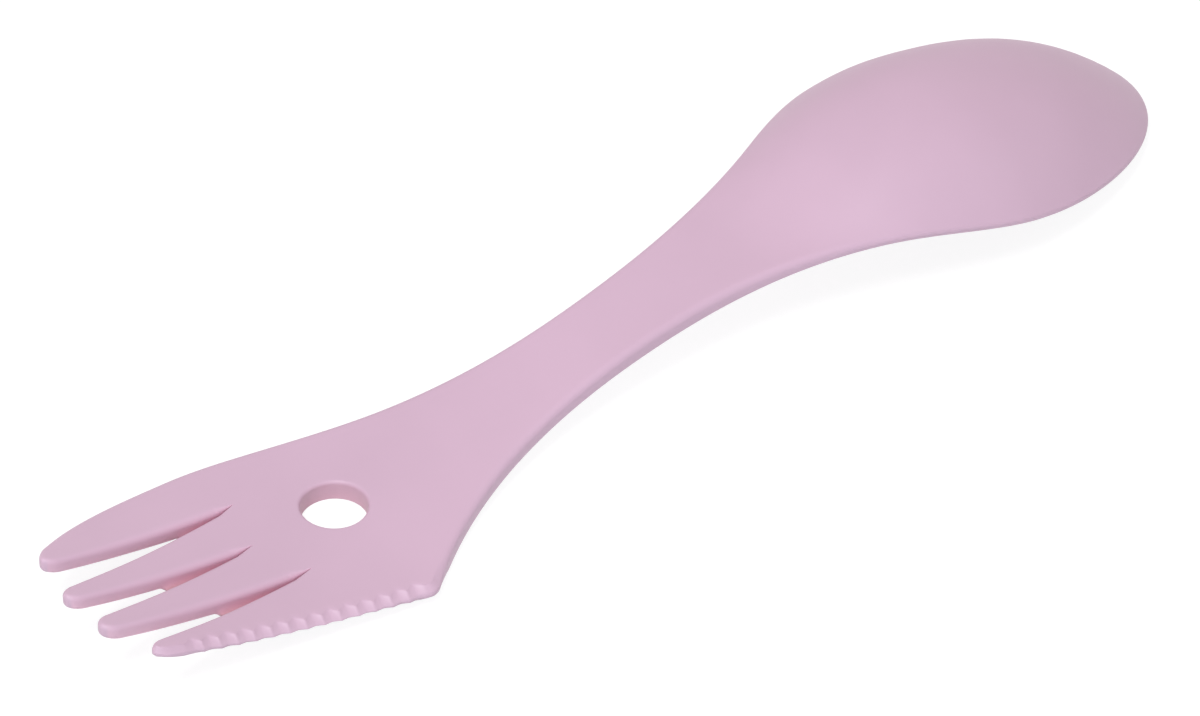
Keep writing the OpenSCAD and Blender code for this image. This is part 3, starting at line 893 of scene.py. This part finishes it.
def share_of_sheet(first, last, low, high, leave_out):
    """Adds a grid of cells for one region, with the cells that it leaves out deleted."""
    bpy.ops.object.select_all(action="DESELECT")
    bpy.ops.mesh.primitive_grid_add(
        x_subdivisions=last - first, y_subdivisions=high - low, size=2, location=(0, 0, 0)
    )
    piece = bpy.context.active_object
    bpy.ops.object.mode_set(mode="EDIT")
    bpy.ops.mesh.select_all(action="SELECT")
    bpy.ops.transform.resize(value=((last - first) / 2, (high - low) / 2, 1))
    bpy.ops.transform.translate(value=((last + first) / 2, (high + low) / 2, 0))
    sheet = bmesh.from_edit_mesh(piece.data)
    bpy.ops.mesh.select_all(action="DESELECT")
    bpy.context.tool_settings.mesh_select_mode = (False, False, True)
    for face in sheet.faces:
        middle = face.calc_center_median()
        face.select = leave_out(middle.x, middle.y)
    bmesh.update_edit_mesh(piece.data)
    if any(face.select for face in sheet.faces):
        bpy.ops.mesh.delete(type="FACE")
    return piece


def pull_down():
    """Gives the sheet in edit mode its wall, with an edge for every ring."""
    bpy.ops.mesh.select_all(action="SELECT")
    bpy.ops.mesh.extrude_region_move(TRANSFORM_OT_translate={"value": (0, 0, -WALL_CELLS)})
    piece = bpy.context.active_object
    solid = bmesh.from_edit_mesh(piece.data)
    bpy.ops.mesh.select_all(action="DESELECT")
    bpy.context.tool_settings.mesh_select_mode = (False, True, False)
    for edge in solid.edges:
        edge.select = abs(edge.verts[0].co.z - edge.verts[1].co.z) > WALL_CELLS / 2
    bmesh.update_edit_mesh(piece.data)
    bpy.ops.mesh.subdivide(number_cuts=WALL_CELLS - 1)
    bpy.ops.object.mode_set(mode="OBJECT")


def make_region(skin, name, first, last, low, high, leave_out):
    """Models one region: a sheet of cells, pulled down, ringed and laid on the skin."""
    piece = share_of_sheet(first, last, low, high, leave_out)
    pull_down()
    mesh = piece.data
    cell = np.empty(3 * len(mesh.vertices))
    mesh.vertices.foreach_get("co", cell)
    row, column, ring = (np.rint(cell.reshape(-1, 3)).astype(int) * (1, 1, -1)).T
    # Glow and shade painted into the colour, which the material reads
    for tone, amount in (("glow", skin.glow), ("deep", skin.deep)):
        shade = mesh.attributes.new(tone, "FLOAT", "POINT")
        shade.data.foreach_set("value", amount[row, column, ring])
    mark_cuts(mesh, ring, skin.edge[row, column], skin.web[row, column, ring] > WEB_CLOSED)
    mesh.vertices.foreach_set("co", (skin.point[row, column, ring] * MM).ravel())
    bpy.ops.object.mode_set(mode="EDIT")
    bpy.ops.mesh.select_all(action="SELECT")
    bpy.ops.mesh.remove_doubles(threshold=1e-7)
    bpy.ops.mesh.select_all(action="SELECT")
    bpy.ops.mesh.normals_make_consistent(inside=False)
    bpy.ops.object.mode_set(mode="OBJECT")
    bpy.ops.object.shade_smooth()
    piece.name = mesh.name = "moulded_" + name
    piece.data.materials.append(pink_plastic(bpy.context.scene.spork_finish))
    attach(piece, "root")
    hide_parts(name)
    return piece


def mark_cuts(mesh, ring, on_edge, in_web):
    """Notes which faces are cuts between regions, which stay inside the moulding."""
    cut = mesh.attributes.new("cut", "BOOLEAN", "FACE")
    marks = []
    for face in mesh.polygons:
        corners = list(face.vertices)
        upright = len(set(ring[corners])) > 1
        marks.append(bool(upright and (in_web[corners].all() or not on_edge[corners].all())))
    cut.data.foreach_set("value", marks)


def pink_plastic(finish):
    """Satin pink plastic with the fine grain of a spark-eroded mould."""
    name = "pink_plastic_satin"
    if name in bpy.data.materials:
        return bpy.data.materials[name]
    material = bpy.data.materials.new(name)
    material.use_nodes = True
    nodes, links = material.node_tree.nodes, material.node_tree.links
    shader = nodes["Principled BSDF"]
    place = nodes.new("ShaderNodeTexCoord").outputs["Object"]
    links.new(plastic_colour(nodes, links, place, finish), shader.inputs["Base Color"])

    dull_spread = 0.05
    grain = nodes.new("ShaderNodeTexNoise")
    grain.inputs["Scale"].default_value = 1 / finish.grain_size
    grain.inputs["Detail"].default_value = 2
    grain.inputs["Roughness"].default_value = 0.6
    links.new(place, grain.inputs["Vector"])
    dull = nodes.new("ShaderNodeMapRange")
    dull.inputs["From Min"].default_value = 0.3
    dull.inputs["From Max"].default_value = 0.7
    dull.inputs["To Min"].default_value = finish.roughness - dull_spread
    dull.inputs["To Max"].default_value = finish.roughness + dull_spread
    links.new(grain.outputs["Fac"], dull.inputs["Value"])
    links.new(dull.outputs["Result"], shader.inputs["Roughness"])
    bump = nodes.new("ShaderNodeBump")
    bump.inputs["Strength"].default_value = 0.5
    bump.inputs["Distance"].default_value = finish.grain_depth * 2
    links.new(grain.outputs["Fac"], bump.inputs["Height"])
    links.new(bump.outputs["Normal"], shader.inputs["Normal"])

    shader.inputs["IOR"].default_value = 1.46
    shader.inputs["Specular IOR Level"].default_value = 0.55
    return material


def plastic_colour(nodes, links, place, finish):
    """Faintly clouded pink, with glow painted in a rosier pink on the walls of the slots and the hole,
    and shade painted in a dark brownish pink on the webs and down the hole.
    """
    cloud = nodes.new("ShaderNodeTexNoise")
    cloud.inputs["Scale"].default_value = 45
    cloud.inputs["Detail"].default_value = 3
    links.new(place, cloud.inputs["Vector"])
    tint = nodes.new("ShaderNodeValToRGB")
    for stop, position, strength in zip(tint.color_ramp.elements, (0.3, 0.7), (0.97, 1.03)):
        stop.position = position
        stop.color = (*np.minimum(np.array(finish.pink) * strength, 1), 1)
    links.new(cloud.outputs["Fac"], tint.inputs["Fac"])
    colour_so_far = tint.outputs["Color"]
    # Paints the glow, then the shade, over the pink
    for tone, painted_colour in (("glow", finish.rose), ("deep", finish.deep_rose)):
        amount = nodes.new("ShaderNodeAttribute")
        amount.attribute_name = tone
        paint_over = nodes.new("ShaderNodeMix")
        paint_over.data_type = "RGBA"
        paint_over.inputs["B"].default_value = (*painted_colour, 1)
        links.new(amount.outputs["Fac"], paint_over.inputs["Factor"])
        links.new(colour_so_far, paint_over.inputs["A"])
        colour_so_far = paint_over.outputs["Result"]
    return colour_so_far


class PieceOperator:
    """What the operators of the regions share."""

    bl_options = {"REGISTER", "UNDO"}

    def execute(self, context):
        skin = Skin(context.scene.spork_sizes)
        for region in self.regions(skin):
            piece = make_region(skin, *region)
            if not piece.data.polygons:
                raise RuntimeError("no faces were made for " + piece.name)
        return {"FINISHED"}


def nothing(row, column):
    """Leaves no cell out."""
    return False


class SPORK_OT_bowl(PieceOperator, bpy.types.Operator):
    """Model the domed bowl, its rim and the hollow underneath"""

    bl_idname = "spork.bowl"
    bl_label = "Bowl"

    def regions(self, skin):
        return [("spoon_bowl", skin.row_of["throat"], skin.row_of["tip"], 0, COLUMNS, nothing)]


class SPORK_OT_handle(PieceOperator, bpy.types.Operator):
    """Model the arched handle between the palm and the bowl"""

    bl_idname = "spork.handle"
    bl_label = "Handle"

    def regions(self, skin):
        return [("handle", skin.row_of["palm end"], skin.row_of["throat"], 0, COLUMNS, nothing)]


class SPORK_OT_palm(PieceOperator, bpy.types.Operator):
    """Model the fork's palm, with its heel and the hang hole"""

    bl_idname = "spork.palm"
    bl_label = "Palm"

    def regions(self, skin):
        rows = skin.row_of["root"], skin.row_of["palm end"]
        return [("fork_palm", *rows, 0, COLUMNS, skin.in_strip_or_hole)]


class SPORK_OT_tines(PieceOperator, bpy.types.Operator):
    """Model the four tines"""

    bl_idname = "spork.tines"
    bl_label = "Tines"

    def regions(self, skin):
        names = (
            "serrated_outer_tine",
            "serrated_inner_tine",
            "plain_inner_tine",
            "plain_outer_tine",
        )
        return [
            (name, 0, skin.row_of["root"], *columns_of(tine), skin.in_strip)
            for tine, name in enumerate(names)
        ]


class SPORK_OT_cutting_edge(PieceOperator, bpy.types.Operator):
    """Model the cutting edge with its teeth"""

    bl_idname = "spork.cutting_edge"
    bl_label = "Cutting edge"

    def regions(self, skin):
        rows = skin.row_of["strip start"], skin.row_of["strip end"]
        return [("serrated_edge", *rows, 0, 1, nothing)]


class SPORK_OT_blend(bpy.types.Operator):
    """Give the regions one shading, so that no line shows where they join"""

    bl_idname = "spork.blend"
    bl_label = "Blend the joins"
    bl_options = {"REGISTER", "UNDO"}

    def execute(self, context):
        pieces = [item for item in context.scene.objects if item.name.startswith("moulded_")]
        if not pieces:
            raise RuntimeError("make the regions first")
        places, leans = [], []
        for piece in pieces:
            for face in piece.data.polygons:
                if piece.data.attributes["cut"].data[face.index].value:
                    continue
                lean = np.array(face.normal) * face.area
                for vertex in face.vertices:
                    places.append(piece.data.vertices[vertex].co)
                    leans.append(lean)
        keys = np.rint(np.array(places) / (SAME_POINT * MM)).astype(np.int64)
        _, index = np.unique(keys, axis=0, return_inverse=True)
        index = index.ravel()
        total = np.zeros((index.max() + 1, 3))
        np.add.at(total, index, np.array(leans))
        shared = iter(unit(total)[index])
        for piece in pieces:
            normals = []
            for face in piece.data.polygons:
                cut = piece.data.attributes["cut"].data[face.index].value
                for _ in face.vertices:
                    normals.append(tuple(face.normal) if cut else tuple(next(shared)))
            piece.data.normals_split_custom_set(normals)
        return {"FINISHED"}


class SPORK_OT_stage(bpy.types.Operator):
    """Set the floor, the lamps and the camera"""

    bl_idname = "spork.stage"
    bl_label = "Stage"
    bl_options = {"REGISTER", "UNDO"}

    def execute(self, context):
        studio = context.scene.spork_studio
        make_floor(studio)
        make_room(studio)
        make_lamps(studio)
        make_camera(studio)
        context.scene.view_settings.view_transform = "Standard"
        return {"FINISHED"}


def seen_or_reflected(nodes, links):
    """1 where the camera sees a surface, straight or in a reflection, and 0 for the light on it."""
    path = nodes.new("ShaderNodeLightPath")
    seen = path.outputs["Is Camera Ray"]
    for ray in ("Is Glossy Ray", "Is Transmission Ray"):
        either = nodes.new("ShaderNodeMath")
        either.operation = "MAXIMUM"
        links.new(seen, either.inputs[0])
        links.new(path.outputs[ray], either.inputs[1])
        seen = either.outputs[0]
    return seen


def mix_by_ray(nodes, links, light, seen, output):
    """Shows one surface to the camera and in reflections, and lights the scene with another."""
    mix = nodes.new("ShaderNodeMixShader")
    links.new(seen_or_reflected(nodes, links), mix.inputs["Fac"])
    links.new(light.outputs[0], mix.inputs[1])
    links.new(seen.outputs[0], mix.inputs[2])
    links.new(mix.outputs[0], output.inputs["Surface"])


def make_floor(studio):
    """A pale floor that is white to the camera and keeps the spork's shadow."""
    bpy.ops.object.select_all(action="DESELECT")
    bpy.ops.mesh.primitive_plane_add(size=8, location=(0, 0, 0))
    floor = bpy.context.active_object
    floor.name = "studio_floor"
    material = bpy.data.materials.new("pale_floor")
    material.use_nodes = True
    nodes, links = material.node_tree.nodes, material.node_tree.links
    nodes.remove(nodes["Principled BSDF"])
    matt = nodes.new("ShaderNodeBsdfDiffuse")
    matt.inputs["Color"].default_value = (*studio.floor_colour, 1)
    shaded = nodes.new("ShaderNodeBsdfDiffuse")
    shaded_grey, own_light = 0.22, 0.87
    shaded.inputs["Color"].default_value = (shaded_grey, shaded_grey, shaded_grey, 1)
    glow = nodes.new("ShaderNodeEmission")
    glow.inputs["Strength"].default_value = own_light
    white = nodes.new("ShaderNodeAddShader")
    links.new(shaded.outputs[0], white.inputs[0])
    links.new(glow.outputs[0], white.inputs[1])
    mix_by_ray(nodes, links, matt, white, nodes["Material Output"])
    floor.data.materials.append(material)


def make_room(studio):
    """Even light from all round, and a white backdrop for the camera."""
    world = bpy.data.worlds.new("studio_room")
    bpy.context.scene.world = world
    world.use_nodes = True
    nodes, links = world.node_tree.nodes, world.node_tree.links
    room = nodes["Background"]
    backdrop = nodes.new("ShaderNodeBackground")
    for background, strength in ((room, studio.room_strength), (backdrop, 1)):
        background.inputs["Color"].default_value = (1, 1, 1, 1)
        background.inputs["Strength"].default_value = strength
    mix_by_ray(nodes, links, room, backdrop, nodes["World Output"])


def make_lamps(studio):
    """A soft key lamp from the left, a cool one along the teeth and a weak one from the right."""
    white, cool = (1, 1, 1), (0.68, 0.92, 1)
    spork_middle = Vector((0.045, 0, 0))
    # Name, place, width, power and colour
    lamps = (
        ("key_lamp", (-0.5, -0.15, 1.12), 0.5, 8.3, white),
        ("window_lamp", (-0.8, -0.85, 0.6), 0.6, 3.7, cool),
        ("side_lamp", (0.85, -0.6, 0.9), 0.4, 0.75, white),
    )
    for name, place, width, power, light in lamps:
        bpy.ops.object.light_add(type="AREA", location=place)
        lamp = bpy.context.active_object
        lamp.name = name
        lamp.data.shape = "DISK"
        lamp.data.size = width
        lamp.data.energy = power * studio.lamp_strength
        lamp.data.color = light
        aim = spork_middle - Vector(place)
        lamp.rotation_euler = aim.to_track_quat("-Z", "Y").to_euler()


def make_camera(studio):
    """The camera that sees the hang hole where the picture has it."""
    bpy.ops.object.camera_add(location=(0, 0, 0))
    camera = bpy.context.active_object
    camera.name = "picture_camera"
    camera.data.sensor_width = 36
    camera.data.lens = studio.lens
    turn, tilt = studio.azimuth, studio.elevation
    right = Vector((math.cos(turn), -math.sin(turn), 0))
    level = Vector((math.sin(turn), math.cos(turn), 0))
    up = level * math.sin(tilt) + Vector((0, 0, math.cos(tilt)))
    forward = level * math.cos(tilt) - Vector((0, 0, math.sin(tilt)))
    picture_width, picture_height = 1200, 716
    hole_seen_at = 334.0, 504.5
    pixels = studio.lens / camera.data.sensor_width * picture_width
    across = (hole_seen_at[0] - picture_width / 2) / pixels
    down = (hole_seen_at[1] - picture_height / 2) / pixels
    hole = Vector((0, 0, bpy.context.scene.spork_sizes.plate_thickness))
    camera.location = hole - (forward + right * across - up * down) * studio.distance
    turned = Matrix((right, up, -forward)).transposed()
    camera.rotation_euler = turned.to_euler()
    camera.data.clip_start, camera.data.clip_end = 0.05, 20
    bpy.context.scene.camera = camera


class SPORK_PT_panel(bpy.types.Panel):
    """Sidebar panel with the spork's sizes and steps"""

    bl_idname = "SPORK_PT_panel"
    bl_label = "Spork"
    bl_space_type = "VIEW_3D"
    bl_region_type = "UI"
    bl_category = "Spork"

    def draw(self, context):
        for operator in STEPS:
            self.layout.operator(operator.bl_idname)
        scene = context.scene
        for group in (scene.spork_sizes, scene.spork_finish, scene.spork_studio):
            box = self.layout.box()
            for name in group.__annotations__:
                box.prop(group, name)


STEPS = (
    SPORK_OT_bowl,
    SPORK_OT_handle,
    SPORK_OT_palm,
    SPORK_OT_tines,
    SPORK_OT_cutting_edge,
    SPORK_OT_blend,
    SPORK_OT_stage,
)

CLASSES = (SporkSizes, SporkFinish, SporkStudio, *STEPS, SPORK_PT_panel)


def register():
    """Makes the properties, the operators and the panel known to Blender."""
    for item in CLASSES:
        bpy.utils.register_class(item)
    bpy.types.Scene.spork_sizes = bpy.props.PointerProperty(type=SporkSizes)
    bpy.types.Scene.spork_finish = bpy.props.PointerProperty(type=SporkFinish)
    bpy.types.Scene.spork_studio = bpy.props.PointerProperty(type=SporkStudio)


def unregister():
    """Takes them out again."""
    del bpy.types.Scene.spork_studio
    del bpy.types.Scene.spork_finish
    del bpy.types.Scene.spork_sizes
    for item in reversed(CLASSES):
        bpy.utils.unregister_class(item)


def main():
    """Models the spork step by step and sets the stage."""
    register()
    bpy.ops.spork.bowl()
    bpy.ops.spork.handle()
    bpy.ops.spork.palm()
    bpy.ops.spork.tines()
    bpy.ops.spork.cutting_edge()
    bpy.ops.spork.blend()
    bpy.ops.spork.stage()


if __name__ == "__main__":
    main()
